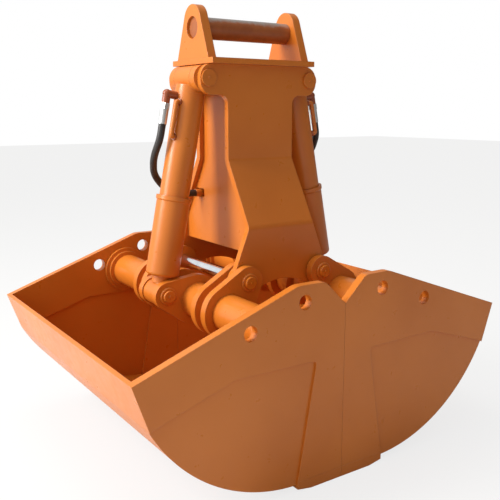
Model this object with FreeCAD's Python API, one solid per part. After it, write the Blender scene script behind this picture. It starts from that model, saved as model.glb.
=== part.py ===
"""Hydraulic clamshell bucket: a head frame, two hinged shells and one cylinder for each shell.

Millimetres, +Z up. The origin is on the floor under the middle of the closed bucket.
+X is the way the right shell opens, and the bucket's width lies along Y, with the front at -Y.
Every piece of a shell or a cylinder is drawn for the right-hand side and mirrored for the left.
"""
import FreeCAD, Part
import math
import os

V = FreeCAD.Vector

# ---- driving dimensions ----------------------------------------------------------------
WIDTH = 1000.0                 # over the side plates
PARTING_GAP = 1.0              # between the closed shells

# hinge, cross tube, cylinder pins: (x, z) on the right-hand side
HINGE = (140.0, 539.0)
TUBE = (212.0, 458.0)
CLEVIS = (313.6, 484.0)
HEAD_PIN = (186.0, 1126.0)

# shell plates
SIDE_PLATE = 25.0              # thick upper plate and side cutter
INFILL = 12.0                  # thin plate let into it
INFILL_RECESS = 6.0            # its outer face lies this far behind the side plate's
SHEET = 12.0                   # outer wall and bottom sheet
SWEEP_R = 520.0                # bottom sheet, outside, struck from the hinge
NOTCH_Z = 515.0                # foot of the V between the shells
SHOULDER = (73.0, 585.5)       # top of the V
CROWN = (164.0, 586.0)         # highest point of the side plate
RIM = (641.0, 417.0)           # outer top corner
STEP_KNEE = (357.0, 373.0)     # where the thick plate's lower edge turns
STEP_END = (97.0, 370.0)       # where it meets the side cutter
ACCESS_HOLE_R = 21.0           # in line with the hinge and clevis pins
LIP_LENGTH = 157.0
LIP_THICKNESS = 30.0
LIP_FLAT = 110.0               # stretch of the lip that stands on the floor
LIP_HEEL_LIFT = 8.0

# cross tube and what is welded to it
TUBE_R = 55.0
TUBE_WALL = 10.0
COLLAR_R = 80.0                # plates that wrap the tube
EAR_R = 47.0                   # hinge ear round its pin
EAR = 25.0
INNER_EAR_Y = 155.0            # inner face of the inner ear
OUTER_EAR_Y = 212.0            # inner face of the outer ear
CLEVIS_R = 42.0
CLEVIS_PLATE = 24.0
CLEVIS_Y = 34.0                # inner face of a clevis plate
FLANGE_STEPS = ((80.0, 12.0), (68.0, 10.0))   # radius and thickness, from the side plate inwards

# pins
PIN_R = 19.0
HEAD_PIN_R = 17.5
RUNNING = 0.05                 # radial clearance of every pin
PIN_CAP_R = 27.0
PIN_CAP = 6.0
PIN_END = 7.0                  # how far a pin stands out of its cap

# head frame
PLATE = 20.0
HEAD_TOP = 1167.0
HEAD_FOOT = 1078.0
HEAD_HALF = 213.0
HEAD_CORNER = 40.0
WAIST_HALF = 119.5
WAIST_CORNER = 25.0
UPPER_FACE_Y = 95.0            # outer face of a frame plate above the folds
LOWER_FACE_Y = 207.0           # and below them
UPPER_FOLD_Z = 886.0
LOWER_FOLD_Z = 693.0
FOLD_R = 14.0                  # inside radius of the folds
BOSS_R = 45.0                  # frame plate round the hinge
SKIRT = (170.0, 564.0)         # where the waist flares to
SKIRT_FOOT_Z = 500.0
ARCH_TOP_Z = 528.0
BUSH_R = 27.0
BUSH_FLANGE_R = 35.0
BUSH_FLANGE = 3.0
WEB = 12.0
WEB_FACE_X = 104.0             # outer face of a web, set in from the waist's edge
WEB_FOOT_Z = 613.0
HEAD_BOSS_R = 38.0

# crane coupling
HEAD_PLATE = 16.0
HEAD_PLATE_HALF_Y = 120.0
EAR_OUT_X = 184.0
COUPLING_EAR = 27.0
COUPLING_Z = 1274.0
COUPLING_PIN_R = 32.0
COUPLING_EAR_TOP = 1340.0
COUPLING_EAR_R = 48.0
COUPLING_EAR_HALF = 92.0
COUPLING_RECESS = 8.0

# cylinders, lengths measured down the axis from the head pin
BARREL_R = 45.0
BORE_R = 35.0
BARREL_START = 46.0
BARREL_END = 424.0
EYE_R = 38.0
EYE_HALF = 46.0
GLAND = 34.0
ROD_R = 20.0
PISTON_START = 350.0
PISTON = 22.0
ROD_EYE_R = 38.5
ROD_EYE_BORE_R = 31.0
ROD_EYE_HALF = 32.0
GUARD_R = 51.0
GUARD_WALL = 4.0
GUARD_LENGTH = 244.0
GUARD_FOOT = 54.0              # above the rod eye's centre
GUARD_BEAD = 3.0
GUARD_FOOT_R = 10.0
NECK_R = 29.0

# hydraulic fittings and hoses
PORT_S = 60.0
ELBOW_OUT = 76.0
ELBOW_R = 13.0
FERRULE_R = 12.5
FERRULE_START = 88.0
FERRULE_END = 150.0
HOSE_R = 11.0
PIPE_R = 7.0
PIPE_OUT = 59.0
PIPE_START = 78.0
PIPE_END = 181.0
PIPE_SIDE_ANGLE = -24.0
PIPE_BOSS = 5.0
MANIFOLD_HALF = 88.0
MANIFOLD_SIZE = 36.0
MANIFOLD_AT = (104.0, 769.0)   # (y, z) of its middle, behind the web windows
WINDOW_HALF = (28.0, 14.5)     # half sizes of a web window along y and z
HOSE_END_X = 122.0
SUPPLY_PORT_R = 10.5
SUPPLY_PORT_DEPTH = 22.0
SUPPLY_PORT_X = 32.0
SUPPLY_STUB_R = 18.0
SUPPLY_FACE_Y = 196.0

HALF = WIDTH / 2.0
SIDE_INNER = HALF - SIDE_PLATE
INFILL_OUTER = HALF - INFILL_RECESS
INFILL_INNER = INFILL_OUTER - INFILL
PART_X = PARTING_GAP / 2.0
AXIS_LENGTH = math.dist(HEAD_PIN, CLEVIS)
TILT = math.degrees(math.atan2(CLEVIS[0] - HEAD_PIN[0], HEAD_PIN[1] - CLEVIS[1]))


# ---- shapes -----------------------------------------------------------------------------
def flat_xz(a, b):
    return V(a, 0, b)


def flat_yz(a, b):
    return V(0, a, b)


def flat_xy(a, b):
    return V(a, b, 0)


def outline(points, flat=flat_xz):
    """A closed wire through points (a, b) or (a, b, corner radius), rounded with tangent arcs."""
    ends = []
    count = len(points)
    for i, point in enumerate(points):
        here = flat(point[0], point[1])
        before = flat(*points[i - 1][:2]) - here
        after = flat(*points[(i + 1) % count][:2]) - here
        before.normalize()
        after.normalize()
        if len(point) < 3:
            ends.append((here, None, here))
            continue
        half = before.getAngle(after) / 2.0
        run = point[2] / math.tan(half)
        middle = before + after
        middle.normalize()
        nearest = here + middle * (point[2] / math.sin(half) - point[2])
        ends.append((here + before * run, nearest, here + after * run))
    edges = []
    for i, (start, nearest, end) in enumerate(ends):
        if nearest is not None:
            edges.append(Part.Arc(start, nearest, end).toShape())
        following = ends[(i + 1) % count][0]
        if end.distanceToPoint(following) > 1e-6:
            edges.append(Part.LineSegment(end, following).toShape())
    return Part.Wire(edges)


def plate(wire, start, end, along=V(0, 1, 0)):
    """The flat shape inside wire, from start to end along an axis."""
    face = Part.Face(wire)
    face.translate(along * start)
    return face.extrude(along * (end - start))


def link(centre_a, radius_a, centre_b, radius_b):
    """The outline of a link plate: two round ends joined by their common tangents."""
    a = flat_xz(*centre_a)
    b = flat_xz(*centre_b)
    span = b - a
    heading = math.atan2(span.z, span.x)
    lean = math.acos((radius_a - radius_b) / span.Length)

    def rim(centre, radius, angle):
        return centre + flat_xz(radius * math.cos(angle), radius * math.sin(angle))

    a_low = rim(a, radius_a, heading - lean)
    a_high = rim(a, radius_a, heading + lean)
    b_low = rim(b, radius_b, heading - lean)
    b_high = rim(b, radius_b, heading + lean)
    return Part.Wire([
        Part.Arc(a_high, rim(a, radius_a, heading + math.pi), a_low).toShape(),
        Part.LineSegment(a_low, b_low).toShape(),
        Part.Arc(b_low, rim(b, radius_b, heading), b_high).toShape(),
        Part.LineSegment(b_high, a_high).toShape(),
    ])


def rod_y(centre, radius, start, end):
    """A round bar along Y."""
    return Part.makeCylinder(radius, end - start, V(centre[0], start, centre[1]), V(0, 1, 0))


def rod_x(y, z, radius, start, end):
    """A round bar along X."""
    return Part.makeCylinder(radius, end - start, V(start, y, z), V(1, 0, 0))


def rod_down(radius, start, end, x=0.0, y=0.0):
    """A round bar down a cylinder's own axis, from start to end below the head pin."""
    return Part.makeCylinder(radius, end - start, V(x, y, -end), V(0, 0, 1))


def turned(profile, axis_point, axis):
    """A solid turned from a half profile."""
    return Part.Face(profile).revolve(axis_point, axis, 360)


def fused(first, *others):
    """One clean solid from pieces that are welded or cast together."""
    return first.fuse(list(others)).removeSplitter()


def bar_along(points, radius):
    """A round bar along straight runs joined by tangent arcs: points are (point, bend radius)."""
    edges = []
    start = points[0][0]
    for (corner, bend), (following, _) in zip(points[1:-1], points[2:]):
        back = start - corner
        on = following - corner
        back.normalize()
        on.normalize()
        half = back.getAngle(on) / 2.0
        run = bend / math.tan(half)
        middle = back + on
        middle.normalize()
        nearest = corner + middle * (bend / math.sin(half) - bend)
        edges.append(Part.LineSegment(start, corner + back * run).toShape())
        edges.append(Part.Arc(corner + back * run, nearest, corner + on * run).toShape())
        start = corner + on * run
    edges.append(Part.LineSegment(start, points[-1][0]).toShape())
    path = Part.Wire(edges)
    first_run = points[1][0] - points[0][0]
    ring = Part.Wire([Part.makeCircle(radius, points[0][0], first_run)])
    bar = path.makePipeShell([ring], True, False)
    return bar, path.Length


def mirrored_y(shape):
    return shape.mirror(V(0, 0, 0), V(0, 1, 0))


def both_ends(shape):
    """The piece and its mirror image at the other end of the bucket's width."""
    return [shape, mirrored_y(shape)]


# ---- shells -----------------------------------------------------------------------------
def on_sweep(radius, x=None, z=None):
    """The point of a circle about the hinge at a given x (low side) or a given z (outer side)."""
    if x is not None:
        return (x, HINGE[1] - math.sqrt(radius ** 2 - (x - HINGE[0]) ** 2))
    return (HINGE[0] + math.sqrt(radius ** 2 - (z - HINGE[1]) ** 2), z)


BEND = on_sweep(SWEEP_R, z=293.0)              # where the outer wall meets the bottom sheet
INNER_R = SWEEP_R - SHEET


def towards_hinge(point, radius):
    """The point on the line from the hinge through point, at radius from the hinge."""
    scale = radius / math.dist(point, HINGE)
    return (HINGE[0] + (point[0] - HINGE[0]) * scale, HINGE[1] + (point[1] - HINGE[1]) * scale)


BEND_INSIDE = towards_hinge(BEND, INNER_R)
BEND_BEYOND = towards_hinge(BEND, SWEEP_R * 1.2)


def side_plate():
    """Thick upper band with the V, the rim and the side cutter, as one profile-cut plate."""
    wire = outline([
        (PART_X, LIP_THICKNESS),
        (PART_X, NOTCH_Z),
        (*SHOULDER, 30.0),
        (*CROWN, 60.0),
        RIM,
        BEND,
        BEND_INSIDE,
        (*STEP_KNEE, 40.0),
        (*STEP_END, 12.0),
        (LIP_LENGTH, LIP_THICKNESS),
    ])
    solid = plate(wire, -HALF, -SIDE_INNER)
    for centre in (HINGE, CLEVIS):
        solid = solid.cut(rod_y(centre, ACCESS_HOLE_R, -HALF - 1, -SIDE_INNER + 1))
    return solid


def side_infill():
    """Thin plate that closes the side below the thick band, down to the curved bottom."""
    wire = outline([
        (LIP_LENGTH, LIP_THICKNESS),
        (*STEP_END, 12.0),
        (*STEP_KNEE, 40.0),
        BEND_INSIDE,
        BEND_BEYOND,
        (BEND_BEYOND[0], -20.0),
        (LIP_LENGTH, -20.0),
    ])
    disc = rod_y(HINGE, SWEEP_R, -HALF, 0)
    return plate(wire, -INFILL_OUTER, -INFILL_INNER).common(disc)


def bottom_sheet():
    """Rolled sheet whose outside is struck from the hinge, so it swings clear as the shell opens."""
    wire = outline([HINGE, BEND_BEYOND, (BEND_BEYOND[0], -20.0), (LIP_LENGTH, -20.0), (LIP_LENGTH, HINGE[1] - 1)])
    ring = rod_y(HINGE, SWEEP_R, -INFILL_INNER, INFILL_INNER)
    ring = ring.cut(rod_y(HINGE, INNER_R, -HALF, HALF))
    return ring.common(plate(wire, -HALF, HALF))


def outer_wall():
    """Flat wall between the side plates, from the rim down to the bend."""
    run = math.dist(RIM, BEND)
    normal = ((BEND[1] - RIM[1]) / run, (RIM[0] - BEND[0]) / run)
    rim_inside = (RIM[0] + normal[0] * SHEET, RIM[1] + normal[1] * SHEET)
    return plate(outline([RIM, BEND, BEND_INSIDE, rim_inside]), -SIDE_INNER, SIDE_INNER)


def lip():
    """Wear lip across the whole width, flat underneath with its heel lifted clear of the floor."""
    wire = outline([
        (PART_X, 0.0),
        (LIP_FLAT, 0.0),
        (LIP_LENGTH, LIP_HEEL_LIFT),
        (LIP_LENGTH, LIP_THICKNESS),
        (PART_X, LIP_THICKNESS),
    ])
    return plate(wire, -HALF, HALF)


def cross_tube():
    tube = rod_y(TUBE, TUBE_R, -SIDE_INNER, SIDE_INNER)
    return tube.cut(rod_y(TUBE, TUBE_R - TUBE_WALL, -HALF, HALF))


def tube_flanges():
    """Stepped rings that weld the tube's ends to the side plates."""
    edge = -SIDE_INNER
    ring = None
    for radius, thickness in FLANGE_STEPS:
        step = rod_y(TUBE, radius, edge, edge + thickness)
        ring = step if ring is None else fused(ring, step)
        edge = edge + thickness
    ring = ring.cut(rod_y(TUBE, TUBE_R, -HALF, 0))
    return both_ends(ring)


def hinge_ears():
    """Two pairs of ears that wrap the tube and straddle the frame plates."""
    ears = []
    for inner_face in (INNER_EAR_Y, OUTER_EAR_Y):
        ear = plate(link(TUBE, COLLAR_R, HINGE, EAR_R), -inner_face - EAR, -inner_face)
        ear = ear.cut(rod_y(TUBE, TUBE_R, -HALF, 0))
        ear = ear.cut(rod_y(HINGE, PIN_R + RUNNING, -HALF, 0))
        ears += both_ends(ear)
    return ears


def clevis_plates():
    """The pair of plates that takes the cylinder's rod eye."""
    cheek = plate(link(TUBE, COLLAR_R, CLEVIS, CLEVIS_R), -CLEVIS_Y - CLEVIS_PLATE, -CLEVIS_Y)
    cheek = cheek.cut(rod_y(TUBE, TUBE_R, -HALF, 0))
    cheek = cheek.cut(rod_y(CLEVIS, PIN_R + RUNNING, -HALF, 0))
    return both_ends(cheek)


HINGE_PIN_FACE = OUTER_EAR_Y + EAR
CLEVIS_PIN_FACE = CLEVIS_Y + CLEVIS_PLATE


def pin(centre, radius, face):
    """A pin that stands out of its caps at both ends, with chamfered ends and a grease point."""
    reach = face + PIN_CAP + PIN_END
    bar = rod_y(centre, radius, -reach, reach)
    ends = [edge for edge in bar.Edges if abs(abs(edge.CenterOfMass.y) - reach) < 0.1 and edge.Closed]
    bar = bar.makeChamfer(2.0, ends)
    nipple = rod_y(centre, 4.0, -reach - 3.0, -reach)
    return fused(bar, nipple)


def pin_cap(centre, radius, face):
    """Retaining ring at each end of a pin, with a bevelled rim."""
    cap = rod_y(centre, PIN_CAP_R, -face - PIN_CAP, -face)
    rim = [edge for edge in cap.Edges if abs(edge.CenterOfMass.y + face + PIN_CAP) < 0.1 and edge.Closed]
    cap = cap.makeChamfer(2.0, rim)
    return cap.cut(rod_y(centre, radius + RUNNING, -HALF, 0))


def pin_caps():
    return both_ends(pin_cap(HINGE, PIN_R, HINGE_PIN_FACE)) + both_ends(pin_cap(CLEVIS, PIN_R, CLEVIS_PIN_FACE))


def shell_pieces():
    front_plate = side_plate()
    front_infill = side_infill()
    return {
        "side_plate_front": [front_plate],
        "side_plate_rear": [mirrored_y(front_plate)],
        "side_infill_front": [front_infill],
        "side_infill_rear": [mirrored_y(front_infill)],
        "outer_wall": [outer_wall()],
        "bottom_sheet": [bottom_sheet()],
        "lip": [lip()],
        "cross_tube": [cross_tube()],
        "tube_flanges": tube_flanges(),
        "hinge_ears": hinge_ears(),
        "clevis_plates": clevis_plates(),
        "hinge_pin": [pin(HINGE, PIN_R, HINGE_PIN_FACE)],
        "clevis_pin": [pin(CLEVIS, PIN_R, CLEVIS_PIN_FACE)],
        "pin_caps": pin_caps(),
    }


# ---- cylinders, drawn hanging straight down from the head pin ----------------------------
def barrel_tube():
    tube = rod_down(BARREL_R, BARREL_START, BARREL_END)
    return tube.cut(rod_down(BORE_R, BARREL_START - 1, BARREL_END + 1))


def barrel_eye():
    """Cross eye on the closed end of the barrel, with its end cap and spigot."""
    eye = rod_y((0, 0), EYE_R, -EYE_HALF, EYE_HALF)
    cap = rod_down(BARREL_R, BARREL_START - 22, BARREL_START)
    spigot = rod_down(BORE_R, BARREL_START, BARREL_START + 10)
    solid = fused(eye, cap, spigot)
    return solid.cut(rod_y((0, 0), HEAD_PIN_R + RUNNING, -HALF, HALF))


def gland():
    """Screwed gland that guides the rod at the barrel's open end."""
    body = rod_down(BORE_R, BARREL_END - GLAND, BARREL_END)
    flange = rod_down(BARREL_R - 1, BARREL_END, BARREL_END + 8)
    return fused(body, flange).cut(rod_down(ROD_R + RUNNING, BARREL_END - GLAND - 1, BARREL_END + 9))


def piston_rod():
    """Rod with its piston: the eye is screwed on below."""
    rod = rod_down(ROD_R, PISTON_START + PISTON, AXIS_LENGTH - GUARD_FOOT)
    piston = rod_down(BORE_R - RUNNING, PISTON_START, PISTON_START + PISTON)
    return fused(rod, piston)


def rod_eye():
    """Eye at the rod's foot. Its bore is wider than the pin, because this pivot is the open one."""
    centre = (0, -AXIS_LENGTH)
    eye = rod_y(centre, ROD_EYE_R, -ROD_EYE_HALF, ROD_EYE_HALF)
    neck = rod_down(NECK_R, AXIS_LENGTH - GUARD_FOOT, AXIS_LENGTH - ROD_EYE_BORE_R)
    return fused(eye, neck).cut(rod_y(centre, ROD_EYE_BORE_R, -HALF, HALF))


def rod_guard():
    """Sleeve on the rod's foot that covers the rod and slides over the barrel."""
    foot = AXIS_LENGTH - GUARD_FOOT
    top = foot - GUARD_LENGTH
    wire = outline([
        (GUARD_R - GUARD_WALL, -top),
        (GUARD_R + GUARD_BEAD, -top),
        (GUARD_R + GUARD_BEAD, -top - 12.0, 2.0),
        (GUARD_R, -top - 12.0 - GUARD_BEAD),
        (GUARD_R, -foot, GUARD_FOOT_R),
        (ROD_R, -foot),
        (ROD_R, -foot + 8.0),
        (GUARD_R - GUARD_WALL, -foot + 8.0),
    ])
    return turned(wire, V(0, 0, 0), V(0, 0, 1))


def port_fittings():
    """Elbow on the barrel's outer side, and the two bosses of the transfer pipe."""
    outlet = rod_x(0, -PORT_S, ELBOW_R - 1, BARREL_R - 4, ELBOW_OUT)
    corner = Part.makeSphere(ELBOW_R, V(ELBOW_OUT, 0, -PORT_S))
    drop = rod_down(ELBOW_R - 1, PORT_S, FERRULE_START, x=ELBOW_OUT)
    elbow = fused(outlet, corner, drop).cut(rod_down(BARREL_R, 0, BARREL_END))
    bosses = []
    for s in (PIPE_START, PIPE_END):
        boss = rod_x(0, -s, PIPE_R + 3.0, BARREL_R - 4, BARREL_R + PIPE_BOSS).cut(rod_down(BARREL_R, 0, BARREL_END))
        boss.rotate(V(0, 0, 0), V(0, 0, 1), PIPE_SIDE_ANGLE)
        bosses.append(boss)
    return [elbow] + bosses


def transfer_pipe():
    """Steel pipe from the head of the barrel to the rod-side port."""
    start = BARREL_R + PIPE_BOSS
    points = [
        (V(start, 0, -PIPE_START), 0),
        (V(PIPE_OUT, 0, -PIPE_START), PIPE_R),
        (V(PIPE_OUT, 0, -PIPE_END), PIPE_R),
        (V(start, 0, -PIPE_END), 0),
    ]
    pipe, _ = bar_along(points, PIPE_R)
    pipe.rotate(V(0, 0, 0), V(0, 0, 1), PIPE_SIDE_ANGLE)
    return pipe


def hose_ferrule():
    """Hexagon nut and crimped ferrule at the hose's upper end."""
    corners = []
    for step in range(6):
        angle = math.radians(60 * step)
        corners.append((15.0 * math.cos(angle), 15.0 * math.sin(angle)))
    nut_end = FERRULE_START + 18.0
    nut = plate(outline(corners, flat_xy), -nut_end, -FERRULE_START, V(0, 0, 1))
    nut.translate(V(ELBOW_OUT, 0, 0))
    crimp = rod_down(FERRULE_R, nut_end, FERRULE_END, x=ELBOW_OUT)
    return fused(nut, crimp)


def cylinder_pieces():
    pieces = {
        "barrel_tube": [barrel_tube()],
        "barrel_eye": [barrel_eye()],
        "gland": [gland()],
        "port_fittings": port_fittings(),
        "transfer_pipe": [transfer_pipe()],
        "hose_ferrule": [hose_ferrule()],
        "piston_rod": [piston_rod()],
        "rod_eye": [rod_eye()],
        "rod_guard": [rod_guard()],
    }
    for solids in pieces.values():
        for solid in solids:
            solid.rotate(V(0, 0, 0), V(0, 1, 0), -TILT)
            solid.translate(flat_xz(*HEAD_PIN))
    return pieces


def beside_cylinder(out, down, y=0.0):
    """A point beside the right-hand cylinder: out from its axis and down from the head pin."""
    lean = math.radians(TILT)
    x = HEAD_PIN[0] + down * math.sin(lean) + out * math.cos(lean)
    z = HEAD_PIN[1] - down * math.cos(lean) + out * math.sin(lean)
    return V(x, y, z)


# ---- head frame -------------------------------------------------------------------------
def frame_plate():
    """Profile-cut plate folded twice, so that it stands wide at the hinges and narrow at the head."""
    right = [
        (HEAD_HALF, HEAD_TOP, HEAD_CORNER),
        (HEAD_HALF, HEAD_FOOT, HEAD_CORNER),
        (WAIST_HALF, HEAD_FOOT, WAIST_CORNER),
        (WAIST_HALF, LOWER_FOLD_Z, 60.0),
        SKIRT,
        (HINGE[0], SKIRT_FOOT_Z),
    ]
    left = [(-point[0], *point[1:]) for point in reversed(right)]
    blank = plate(outline(right + left), -LOWER_FACE_Y - PLATE, 0)
    for side in (-1, 1):
        blank = blank.fuse(rod_y((side * HINGE[0], HINGE[1]), BOSS_R, -LOWER_FACE_Y - PLATE, 0))
    arch_rise = ARCH_TOP_Z - SKIRT_FOOT_Z
    arch_half = HINGE[0] - BOSS_R + 5.0
    arch_r = (arch_half ** 2 + arch_rise ** 2) / (2 * arch_rise)
    arch = rod_y((0, ARCH_TOP_Z - arch_r), arch_r, -WIDTH, 0)
    foot = plate(outline([
        (-arch_half, SKIRT_FOOT_Z - 30), (arch_half, SKIRT_FOOT_Z - 30),
        (arch_half, ARCH_TOP_Z + 5), (-arch_half, ARCH_TOP_Z + 5),
    ]), -WIDTH, 0)
    blank = blank.cut(arch.common(foot))

    slope = math.atan2(LOWER_FACE_Y - UPPER_FACE_Y, UPPER_FOLD_Z - LOWER_FOLD_Z)
    drop = PLATE * math.tan(slope / 2.0)
    upper_inside = UPPER_FACE_Y - PLATE
    lower_inside = LOWER_FACE_Y - PLATE
    folded = outline([
        (-UPPER_FACE_Y, HEAD_TOP + 1),
        (-UPPER_FACE_Y, UPPER_FOLD_Z, FOLD_R),
        (-LOWER_FACE_Y, LOWER_FOLD_Z, FOLD_R + PLATE),
        (-LOWER_FACE_Y, HINGE[1] - BOSS_R - 1),
        (-lower_inside, HINGE[1] - BOSS_R - 1),
        (-lower_inside, LOWER_FOLD_Z - drop, FOLD_R),
        (-upper_inside, UPPER_FOLD_Z - drop, FOLD_R + PLATE),
        (-upper_inside, HEAD_TOP + 1),
    ], flat_yz)
    strip = plate(folded, -HEAD_HALF - 1, HEAD_HALF + 1, V(1, 0, 0))
    solid = blank.common(strip)
    for side in (-1, 1):
        boss = rod_y((side * HEAD_PIN[0], HEAD_PIN[1]), HEAD_BOSS_R, -upper_inside, -EYE_HALF - 1)
        solid = solid.fuse(boss)
    for side in (-1, 1):
        solid = solid.cut(rod_y((side * HINGE[0], HINGE[1]), BUSH_R, -HALF, 0))
        solid = solid.cut(rod_y((side * HEAD_PIN[0], HEAD_PIN[1]), HEAD_PIN_R + RUNNING, -HALF, 0))
    return solid.removeSplitter()


def frame_web(front, rear):
    """One of the two webs that close the frame plates into a box, cut to their folds."""
    wire = outline([
        (-LOWER_FACE_Y, WEB_FOOT_Z), (LOWER_FACE_Y, WEB_FOOT_Z),
        (LOWER_FACE_Y, LOWER_FOLD_Z), (UPPER_FACE_Y, UPPER_FOLD_Z),
        (UPPER_FACE_Y, HEAD_TOP), (-UPPER_FACE_Y, HEAD_TOP),
        (-UPPER_FACE_Y, UPPER_FOLD_Z), (-LOWER_FACE_Y, LOWER_FOLD_Z),
    ], flat_yz)
    solid = plate(wire, WEB_FACE_X - WEB, WEB_FACE_X, V(1, 0, 0)).cut([front, rear])
    between = [piece for piece in solid.Solids if abs(piece.CenterOfMass.y) < 1.0][0]
    y, z = MANIFOLD_AT
    wide, high = WINDOW_HALF
    window = outline([
        (y - wide, z - high, 6.0), (y + wide, z - high, 6.0),
        (y + wide, z + high, 6.0), (y - wide, z + high, 6.0),
    ], flat_yz)
    return between.cut(plate(window, 0, HALF, V(1, 0, 0)))


def pivot_bushes():
    """Flanged bushes that line the hinge bores of the frame plates."""
    bushes = []
    lower_inside = LOWER_FACE_Y - PLATE
    for side in (-1, 1):
        centre = (side * HINGE[0], HINGE[1])
        sleeve = rod_y(centre, BUSH_R, -LOWER_FACE_Y, -lower_inside)
        outer = rod_y(centre, BUSH_FLANGE_R, -LOWER_FACE_Y - BUSH_FLANGE, -LOWER_FACE_Y)
        inner = rod_y(centre, BUSH_FLANGE_R, -lower_inside, -lower_inside + BUSH_FLANGE)
        bush = fused(sleeve, outer, inner).cut(rod_y(centre, PIN_R + RUNNING, -HALF, 0))
        bushes += both_ends(bush)
    return bushes


def head_plate():
    wire = outline([
        (-EAR_OUT_X - 2, -HEAD_PLATE_HALF_Y), (EAR_OUT_X + 2, -HEAD_PLATE_HALF_Y),
        (EAR_OUT_X + 2, HEAD_PLATE_HALF_Y), (-EAR_OUT_X - 2, HEAD_PLATE_HALF_Y),
    ], flat_xy)
    return plate(wire, HEAD_TOP, HEAD_TOP + HEAD_PLATE, V(0, 0, 1))


def coupling_ear():
    """Tapered lug with a round top that carries the coupling pin."""
    foot_z = HEAD_TOP + HEAD_PLATE
    top_z = COUPLING_EAR_TOP - COUPLING_EAR_R
    reach = math.dist((COUPLING_EAR_HALF, foot_z), (0, top_z))
    towards = math.atan2(top_z - foot_z, -COUPLING_EAR_HALF)
    lean = math.asin(COUPLING_EAR_R / reach)
    run = math.sqrt(reach ** 2 - COUPLING_EAR_R ** 2)
    touch_y = COUPLING_EAR_HALF + run * math.cos(towards - lean)
    touch_z = foot_z + run * math.sin(towards - lean)
    left_foot = V(0, -COUPLING_EAR_HALF, foot_z)
    right_foot = V(0, COUPLING_EAR_HALF, foot_z)
    left_touch = V(0, -touch_y, touch_z)
    right_touch = V(0, touch_y, touch_z)
    wire = Part.Wire([
        Part.LineSegment(left_foot, right_foot).toShape(),
        Part.LineSegment(right_foot, right_touch).toShape(),
        Part.Arc(right_touch, V(0, 0, COUPLING_EAR_TOP), left_touch).toShape(),
        Part.LineSegment(left_touch, left_foot).toShape(),
    ])
    ear = plate(wire, EAR_OUT_X - COUPLING_EAR, EAR_OUT_X, V(1, 0, 0))
    return ear.cut(rod_x(0, COUPLING_Z, COUPLING_PIN_R, 0, HALF))


def coupling_pin():
    """Bar that the crane's link hangs on, welded into the ears behind their faces."""
    end = EAR_OUT_X - COUPLING_RECESS
    bar = rod_x(0, COUPLING_Z, COUPLING_PIN_R, -end, end)
    rims = [edge for edge in bar.Edges if edge.Closed and abs(abs(edge.CenterOfMass.x) - end) < 0.1]
    return bar.makeChamfer(3.0, rims)


def head_pin():
    """Upper cylinder pin with a round head at each end of it."""
    reach = UPPER_FACE_Y + PIN_CAP
    bar = rod_y(HEAD_PIN, HEAD_PIN_R, -reach, reach)
    heads = []
    for face in (-reach, UPPER_FACE_Y):
        heads.append(rod_y(HEAD_PIN, HEAD_PIN_R + 7.0, face, face + PIN_CAP))
    nipple = rod_y(HEAD_PIN, 4.0, -reach - 3.0, -reach)
    return fused(bar, *heads, nipple)


def supply_manifold():
    """Hose block inside the box, with a spigot through each web window and two supply stubs to the back."""
    y, z = MANIFOLD_AT
    half = MANIFOLD_SIZE / 2.0
    corners = [(y - half, z - half, 4.0), (y + half, z - half, 4.0), (y + half, z + half, 4.0), (y - half, z + half, 4.0)]
    block = plate(outline(corners, flat_yz), -MANIFOLD_HALF, MANIFOLD_HALF, V(1, 0, 0))
    block = block.fuse(rod_x(y, z, FERRULE_R, -HOSE_END_X, HOSE_END_X))
    for side in (-1, 1):
        stub = (side * SUPPLY_PORT_X, z)
        block = block.fuse(rod_y(stub, SUPPLY_STUB_R, y, SUPPLY_FACE_Y))
        block = block.cut(rod_y(stub, SUPPLY_PORT_R, SUPPLY_FACE_Y - SUPPLY_PORT_DEPTH, SUPPLY_FACE_Y + 1))
    return block.removeSplitter()


def hose():
    """Pressure hose from the elbow's ferrule, down and round the back of the barrel to the manifold."""
    y, z = MANIFOLD_AT
    route = [
        beside_cylinder(ELBOW_OUT, FERRULE_END),
        beside_cylinder(ELBOW_OUT, FERRULE_END + 44),
        V(305, 34, 893),
        V(280, 86, 838),
        V(232, 112, 792),
        V(172, y, z),
        V(HOSE_END_X, y, z),
    ]
    points = [(route[0], 0)]
    for before, here, after in zip(route, route[1:], route[2:]):
        back = before - here
        on = after - here
        turn = math.pi - back.getAngle(on)
        points.append((here, 0.45 * min(back.Length, on.Length) / math.tan(turn / 2.0)))
    points.append((route[-1], 0))
    print("hose bend radii", [round(bend) for _, bend in points[1:-1]])
    tube, length = bar_along(points, HOSE_R)
    print("hose length", round(length), "volume ratio", round(tube.Volume / (length * math.pi * HOSE_R ** 2), 4))
    return tube


def frame_pieces():
    front = frame_plate()
    rear = mirrored_y(front)
    for side in (-1, 1):
        rear = rear.cut(rod_y((side * SUPPLY_PORT_X, MANIFOLD_AT[1]), SUPPLY_STUB_R, 0, HALF))
    web = frame_web(front, rear)
    ear = coupling_ear()
    right_pin = head_pin()
    right_hose = hose()
    return {
        "frame_plate_front": [front],
        "frame_plate_rear": [rear],
        "frame_web_right": [web],
        "frame_web_left": [mirrored_x(web)],
        "head_plate": [head_plate()],
        "coupling_ear_right": [ear],
        "coupling_ear_left": [mirrored_x(ear)],
        "coupling_pin": [coupling_pin()],
        "head_pin_right": [right_pin],
        "head_pin_left": [mirrored_x(right_pin)],
        "pivot_bushes": pivot_bushes(),
        "supply_manifold": [supply_manifold()],
        "hose_right": [right_hose],
        "hose_left": [mirrored_x(right_hose)],
    }


def mirrored_x(shape):
    return shape.mirror(V(0, 0, 0), V(1, 0, 0))


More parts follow.
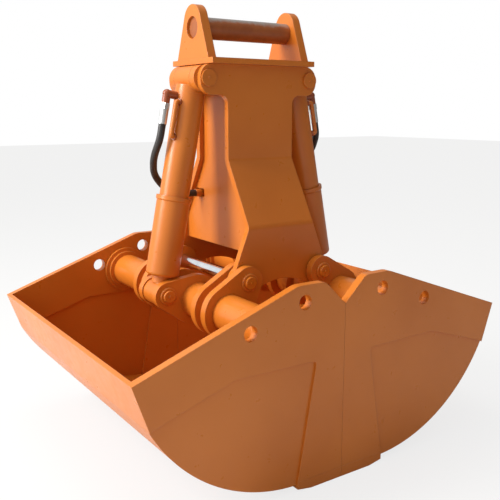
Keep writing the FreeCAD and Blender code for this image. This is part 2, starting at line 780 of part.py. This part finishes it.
# ---- the whole bucket -------------------------------------------------------------------
def write(name, solids):
    """One STEP file for a node: a single solid, or the separate solids of one kind of piece."""
    closed = []
    for solid in solids:
        closed += solid.Solids
    shape = closed[0] if len(closed) == 1 else Part.makeCompound(closed)
    if not shape.isValid():
        print("not valid:", name)
    shape.exportStep(os.path.join("parts", name + ".step"))


os.makedirs("parts", exist_ok=True)
for name, solids in frame_pieces().items():
    write(name, solids)
for pieces in (shell_pieces(), cylinder_pieces()):
    for name, solids in pieces.items():
        write("right_" + name, solids)
        write("left_" + name, [mirrored_x(solid) for solid in solids])
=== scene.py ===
"""Hydraulic clamshell bucket on its CAD frame: the finish of every piece, floor and lamps.

Metres, +Z up. The front faces -Y, and the right-hand shell opens towards +X.
"""

import bpy
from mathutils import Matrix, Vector

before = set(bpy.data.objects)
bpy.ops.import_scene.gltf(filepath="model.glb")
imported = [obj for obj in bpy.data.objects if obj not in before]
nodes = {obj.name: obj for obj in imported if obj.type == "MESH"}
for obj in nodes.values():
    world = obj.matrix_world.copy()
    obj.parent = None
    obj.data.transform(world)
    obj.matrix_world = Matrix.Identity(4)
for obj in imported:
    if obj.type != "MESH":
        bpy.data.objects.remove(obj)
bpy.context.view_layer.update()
scene = bpy.context.scene
scene.view_settings.view_transform = "Standard"

# ---- Camera ------------------------------------------------------------------------------
# A person standing at the bucket's left front corner, a little above its pivots, with a
# normal lens.
camera_data = bpy.data.cameras.new("camera")
camera_data.sensor_width = 36.0
camera_data.lens = 50.59
camera = bpy.data.objects.new("camera", camera_data)
camera.location = (-1.2613, -1.8894, 1.0310)
looking = Vector((0.5516, 0.8112, -0.1939))
camera.rotation_euler = looking.to_track_quat("-Z", "Y").to_euler()
scene.collection.objects.link(camera)
scene.camera = camera


# ---- Floor, backdrop light and lamps -----------------------------------------------------
# A plain white studio: the floor is matt and keeps the bucket's shadow, a tall softbox hangs
# high on the left and a little behind, and a weaker one hangs overhead.
def linear(hex_code):
    """An sRGB hex colour as the linear RGBA that shader sockets take."""
    values = [int(hex_code[i:i + 2], 16) / 255.0 for i in (1, 3, 5)]
    return [v / 12.92 if v <= 0.04045 else ((v + 0.055) / 1.055) ** 2.4 for v in values] + [1.0]


def add_node(tree, kind, inputs=None, **settings):
    """One node with its settings; an input is a value, or another node's output to link."""
    node = tree.nodes.new(kind)
    for name, value in settings.items():
        setattr(node, name, value)
    for socket, value in (inputs or {}).items():
        if isinstance(value, bpy.types.NodeSocket):
            tree.links.new(value, node.inputs[socket])
        else:
            node.inputs[socket].default_value = value
    return node


def new_material(name):
    """An empty node material and its tree."""
    material = bpy.data.materials.new(name)
    material.use_nodes = True
    material.node_tree.nodes.clear()
    return material, material.node_tree


def deselect():
    """Leaves edit mode and clears the selection, so that an operator acts on one piece only."""
    if bpy.context.mode != "OBJECT":
        bpy.ops.object.mode_set(mode="OBJECT")
    bpy.ops.object.select_all(action="DESELECT")


studio_floor, tree = new_material("white_studio_floor")
path = add_node(tree, "ShaderNodeLightPath")
grain = add_node(tree, "ShaderNodeTexNoise", {"Scale": 0.8, "Detail": 2.0})
tone = add_node(tree, "ShaderNodeMix", {
    "Factor": grain.outputs["Fac"], "A": linear("#D9D7D3"), "B": linear("#E2E0DD"),
}, data_type="RGBA")
matt = add_node(tree, "ShaderNodeBsdfDiffuse", {"Color": tone.outputs["Result"]})
glow = add_node(tree, "ShaderNodeEmission", {"Color": linear("#FFFFFF"), "Strength": 1.0})
FLOOR_GLOW = 0.78    # share of the floor that the camera sees as plain white
seen = add_node(tree, "ShaderNodeMath", {
    0: path.outputs["Is Camera Ray"], 1: FLOOR_GLOW,
}, operation="MULTIPLY")
cover = add_node(tree, "ShaderNodeMixShader", {0: seen.outputs[0], 1: matt.outputs[0], 2: glow.outputs[0]})
add_node(tree, "ShaderNodeOutputMaterial", {"Surface": cover.outputs[0]})

deselect()
bpy.ops.mesh.primitive_plane_add(size=40.0, location=(0.0, 0.0, 0.0))
floor = bpy.context.object
floor.name = "studio_floor"
floor.data.materials.append(studio_floor)

# The room is bright on the left and overhead and dim on the front and right.
world = bpy.data.worlds.new("studio")
scene.world = world
world.use_nodes = True
tree = world.node_tree
tree.nodes.clear()
path = add_node(tree, "ShaderNodeLightPath")
way = add_node(tree, "ShaderNodeTexCoord").outputs["Generated"]
toward = add_node(tree, "ShaderNodeVectorMath", {0: way, 1: (-0.80, 0.33, 0.50)}, operation="DOT_PRODUCT")
wall = add_node(tree, "ShaderNodeMapRange", {
    "Value": toward.outputs["Value"], "From Min": -0.45, "From Max": 0.85, "To Min": 0.13, "To Max": 0.95,
})
plain = add_node(tree, "ShaderNodeMath", {
    0: path.outputs["Is Camera Ray"], 1: path.outputs["Is Transmission Ray"],
}, operation="MAXIMUM")
strength = add_node(tree, "ShaderNodeMix", {
    "Factor": plain.outputs[0], "A": wall.outputs["Result"], "B": 1.0,
})
backdrop = add_node(tree, "ShaderNodeBackground", {
    "Color": linear("#FFFFFF"), "Strength": strength.outputs["Result"],
})
add_node(tree, "ShaderNodeOutputWorld", {"Surface": backdrop.outputs[0]})

for name, place, wide, high, power in (
    ("softbox_left", (-3.4, 0.9, 2.5), 1.2, 2.6, 175.0),
    ("softbox_above", (-0.6, 0.4, 4.2), 2.0, 2.0, 40.0),
):
    lamp_data = bpy.data.lights.new(name, "AREA")
    lamp_data.shape = "RECTANGLE"
    lamp_data.size = wide
    lamp_data.size_y = high
    lamp_data.energy = power
    lamp = bpy.data.objects.new(name, lamp_data)
    lamp.location = place
    lamp.rotation_euler = (Vector((0.0, 0.0, 0.6)) - Vector(place)).to_track_quat("-Z", "Y").to_euler()
    scene.collection.objects.link(lamp)


# ---- Painted steel plate -----------------------------------------------------------------
# Shells, frame, cylinders: welded steel plate, shot-blasted, primed and sprayed with an
# orange machine enamel after welding, so that the paint runs over every seam and plate edge.
def enamel(name, light, dark, worn_and_lit_edge):
    """Two-pack machine enamel, air-sprayed: a satin gloss with a faint orange peel, slow
    changes of tone where coats overlap, and a paler line on plate edges that is partly thin
    paint and partly a painted highlight, as if every edge caught the lamp."""
    material, tree = new_material(name)
    place = add_node(tree, "ShaderNodeTexCoord").outputs["Object"]
    # coats overlap about every 300 mm
    coats = add_node(tree, "ShaderNodeTexNoise", {"Vector": place, "Scale": 3.3, "Detail": 3.0})
    # dust and dry spray, about 30 mm
    dust = add_node(tree, "ShaderNodeTexNoise", {
        "Vector": place, "Scale": 33.0, "Detail": 4.0, "Roughness": 0.6,
    })
    # the paint's own ripple is 2 mm; it is drawn 6 mm wide to show
    peel = add_node(tree, "ShaderNodeTexNoise", {"Vector": place, "Scale": 160.0, "Detail": 1.0})
    # plates are a little wavy from welding, over about 250 mm
    wave = add_node(tree, "ShaderNodeTexNoise", {"Vector": place, "Scale": 4.0, "Detail": 1.0})
    coat_step = add_node(tree, "ShaderNodeMapRange", {
        "Value": coats.outputs["Fac"], "From Min": 0.3, "From Max": 0.7,
    })
    tone = add_node(tree, "ShaderNodeMix", {
        "Factor": coat_step.outputs["Result"], "A": linear(dark), "B": linear(light),
    }, data_type="RGBA")
    # a plate edge seen through a 2 mm radius turns away from the flat face
    rounded = add_node(tree, "ShaderNodeBevel", {"Radius": 0.0022}, samples=4)
    flat = add_node(tree, "ShaderNodeNewGeometry")
    turned = add_node(tree, "ShaderNodeVectorMath", {
        0: rounded.outputs["Normal"], 1: flat.outputs["Normal"],
    }, operation="DOT_PRODUCT")
    edge = add_node(tree, "ShaderNodeMapRange", {
        "Value": turned.outputs["Value"], "From Min": 0.995, "From Max": 0.86, "To Max": 0.55,
    })
    # the pale edge line is partly thin paint and partly a painted highlight of rounded plate edges
    # catching the light
    worn_and_lit_edge_mask = add_node(tree, "ShaderNodeMath", {
        0: edge.outputs["Result"], 1: dust.outputs["Fac"],
    }, operation="MULTIPLY")
    colour = add_node(tree, "ShaderNodeMix", {
        "Factor": worn_and_lit_edge_mask.outputs[0], "A": tone.outputs["Result"], "B": linear(worn_and_lit_edge),
    }, data_type="RGBA")
    roughness = add_node(tree, "ShaderNodeMapRange", {
        "Value": dust.outputs["Fac"], "From Min": 0.3, "From Max": 0.75, "To Min": 0.27, "To Max": 0.38,
    })
    ripple = add_node(tree, "ShaderNodeBump", {
        "Height": peel.outputs["Fac"], "Normal": rounded.outputs["Normal"],
        "Strength": 0.12, "Distance": 0.0006,
    })
    warp = add_node(tree, "ShaderNodeBump", {
        "Height": wave.outputs["Fac"], "Normal": ripple.outputs["Normal"],
        "Strength": 0.25, "Distance": 0.012,
    })
    paint = add_node(tree, "ShaderNodeBsdfPrincipled", {
        "Base Color": colour.outputs["Result"], "Roughness": roughness.outputs["Result"],
        "Normal": warp.outputs["Normal"], "IOR": 1.5,
    })
    add_node(tree, "ShaderNodeOutputMaterial", {"Surface": paint.outputs[0]})
    return material


# the pale edge colour is partly worn paint and partly a painted highlight of lit plate edges
orange_enamel = enamel("orange_machine_enamel", light="#D27727", dark="#C66C1E", worn_and_lit_edge="#E8A468")
painted = ["frame_plate_front", "frame_plate_rear", "frame_web_left", "frame_web_right", "head_plate",
           "coupling_ear_left", "coupling_ear_right", "head_pin_left", "head_pin_right", "supply_manifold"]
for side in ("left", "right"):
    for piece in ("side_plate_front", "side_plate_rear", "side_infill_front", "side_infill_rear",
                  "outer_wall", "bottom_sheet", "lip", "cross_tube", "tube_flanges", "hinge_ears",
                  "clevis_plates", "pin_caps", "barrel_tube", "barrel_eye", "rod_eye", "rod_guard"):
        painted.append(side + "_" + piece)


def finish_nodes(names, material):
    """Gives CAD nodes their finish, in every material slot."""
    for node_name in names:
        mesh = nodes[node_name].data
        mesh.materials.clear()
        mesh.materials.append(material)


finish_nodes(painted, orange_enamel)

# ---- Elbows ------------------------------------------------------------------------------
# Forged steel elbows on the barrels, sprayed with a thin brownish coat.
elbow_enamel = enamel("brown_red_enamel", light="#A5542C", dark="#8C4423", worn_and_lit_edge="#C08A60")
finish_nodes(["left_port_fittings", "right_port_fittings"], elbow_enamel)

# ---- Coupling pin ------------------------------------------------------------------------
# The round bar that the crane's hook shackle hangs from: painted once, and rubbed bare and
# grey along its top by the shackle.
shackle_worn, tree = new_material("rubbed_enamel_on_bar")
place = add_node(tree, "ShaderNodeTexCoord").outputs["Object"]
lie = add_node(tree, "ShaderNodeNewGeometry").outputs["Normal"]
up = add_node(tree, "ShaderNodeSeparateXYZ", {0: lie})
patches = add_node(tree, "ShaderNodeTexNoise", {
    "Vector": place, "Scale": 22.0, "Detail": 5.0, "Roughness": 0.65,
})
rub = add_node(tree, "ShaderNodeMath", {0: up.outputs["Z"], 1: patches.outputs["Fac"]}, operation="ADD")
bare = add_node(tree, "ShaderNodeMapRange", {"Value": rub.outputs[0], "From Min": 1.0, "From Max": 1.35})
rust = add_node(tree, "ShaderNodeMix", {
    "Factor": patches.outputs["Fac"], "A": linear("#7A3A1C"), "B": linear("#B4672F"),
}, data_type="RGBA")
skin = add_node(tree, "ShaderNodeMix", {
    "Factor": bare.outputs["Result"], "A": rust.outputs["Result"], "B": linear("#A69C94"),
}, data_type="RGBA")
metal = add_node(tree, "ShaderNodeMath", {0: bare.outputs["Result"], 1: 0.7}, operation="MULTIPLY")
scuff = add_node(tree, "ShaderNodeBump", {
    "Height": patches.outputs["Fac"], "Strength": 0.4, "Distance": 0.002,
})
bar_skin = add_node(tree, "ShaderNodeBsdfPrincipled", {
    "Base Color": skin.outputs["Result"], "Metallic": metal.outputs[0], "Roughness": 0.45,
    "Normal": scuff.outputs["Normal"],
})
add_node(tree, "ShaderNodeOutputMaterial", {"Surface": bar_skin.outputs[0]})
finish_nodes(["coupling_pin"], shackle_worn)


# ---- Piston rods and pins ----------------------------------------------------------------
# Ground bar, induction hardened and hard chrome plated: a bluish mirror with faint rings
# from grinding.
def bare_steel(name, colour, low, high, ring_scale):
    """Bare metal with fine rings or streaks, which show as small changes of roughness."""
    material, tree = new_material(name)
    place = add_node(tree, "ShaderNodeTexCoord").outputs["Object"]
    marks = add_node(tree, "ShaderNodeTexNoise", {"Vector": place, "Scale": ring_scale, "Detail": 3.0})
    clouds = add_node(tree, "ShaderNodeTexNoise", {"Vector": place, "Scale": 18.0, "Detail": 2.0})
    tint = add_node(tree, "ShaderNodeMix", {
        "Factor": clouds.outputs["Fac"], "A": linear(colour), "B": linear("#FFFFFF"),
    }, data_type="RGBA")
    gloss = add_node(tree, "ShaderNodeMapRange", {
        "Value": marks.outputs["Fac"], "To Min": low, "To Max": high,
    })
    relief = add_node(tree, "ShaderNodeBump", {
        "Height": marks.outputs["Fac"], "Strength": 0.08, "Distance": 0.0004,
    })
    metal = add_node(tree, "ShaderNodeBsdfPrincipled", {
        "Base Color": tint.outputs["Result"], "Metallic": 1.0, "Roughness": gloss.outputs["Result"],
        "Normal": relief.outputs["Normal"],
    })
    add_node(tree, "ShaderNodeOutputMaterial", {"Surface": metal.outputs[0]})
    return material


chrome = bare_steel("hard_chrome_bar", "#C9D2DC", low=0.08, high=0.22, ring_scale=140.0)
finish_nodes(["left_piston_rod", "right_piston_rod"], chrome)
finish_nodes(["left_clevis_pin", "right_clevis_pin"], orange_enamel)

# ---- Hinge pins --------------------------------------------------------------------------
# The same bar as the rods, pushed in through both pairs of ears; its ends stand out of them
# and were sprayed with the bucket, so that only the stretch between the ears is bright.
PAINTED_FROM = 0.153    # metres from the pin's middle
PAINT_LINE = 0.002
hinge_bar = bare_steel("chromed_bar_with_painted_ends", "#C9D2DC", low=0.08, high=0.22, ring_scale=140.0)
tree = hinge_bar.node_tree
bar = next(node for node in tree.nodes if node.type == "BSDF_PRINCIPLED")
place = add_node(tree, "ShaderNodeTexCoord").outputs["Object"]
along = add_node(tree, "ShaderNodeSeparateXYZ", {0: place})
out_from_middle = add_node(tree, "ShaderNodeMath", {0: along.outputs["Y"]}, operation="ABSOLUTE")
bright = add_node(tree, "ShaderNodeMapRange", {
    "Value": out_from_middle.outputs[0], "From Min": PAINTED_FROM, "From Max": PAINTED_FROM + PAINT_LINE,
    "To Min": 1.0, "To Max": 0.0,
})
bar_colour = add_node(tree, "ShaderNodeMix", {
    "Factor": bright.outputs["Result"], "A": linear("#CC721F"),
    "B": bar.inputs["Base Color"].links[0].from_socket,
}, data_type="RGBA")
tree.links.new(bar_colour.outputs["Result"], bar.inputs["Base Color"])
tree.links.new(bright.outputs["Result"], bar.inputs["Metallic"])
finish_nodes(["left_hinge_pin", "right_hinge_pin"], hinge_bar)

# ---- Hose ends, pipes and glands ---------------------------------------------------------
# Zinc-plated carbon steel, turned and crimped: paler and softer than the chrome.
zinc = bare_steel("zinc_plated_steel", "#BDBBB4", low=0.25, high=0.42, ring_scale=90.0)
finish_nodes([side + piece for side in ("left", "right")
              for piece in ("_hose_ferrule", "_gland")] + ["pivot_bushes"], zinc)
finish_nodes(["left_transfer_pipe", "right_transfer_pipe"], orange_enamel)

# ---- Pressure hoses ----------------------------------------------------------------------
# Steel-braided rubber hose, 22 mm over its cover. Each one leaves the ferrule at the head of
# a barrel and goes in through the web window to the hose block.
black_rubber, tree = new_material("black_nitrile_rubber")
place = add_node(tree, "ShaderNodeTexCoord").outputs["Object"]
bloom = add_node(tree, "ShaderNodeTexNoise", {"Vector": place, "Scale": 60.0, "Detail": 4.0})
soot = add_node(tree, "ShaderNodeMix", {
    "Factor": bloom.outputs["Fac"], "A": linear("#1E1B1A"), "B": linear("#38322F"),
}, data_type="RGBA")
cloth_print = add_node(tree, "ShaderNodeBump", {
    "Height": bloom.outputs["Fac"], "Strength": 0.2, "Distance": 0.0005,
})
rubber = add_node(tree, "ShaderNodeBsdfPrincipled", {
    "Base Color": soot.outputs["Result"], "Roughness": 0.48, "Normal": cloth_print.outputs["Normal"],
})
add_node(tree, "ShaderNodeOutputMaterial", {"Surface": rubber.outputs[0]})
finish_nodes(["hose_left", "hose_right"], black_rubber)
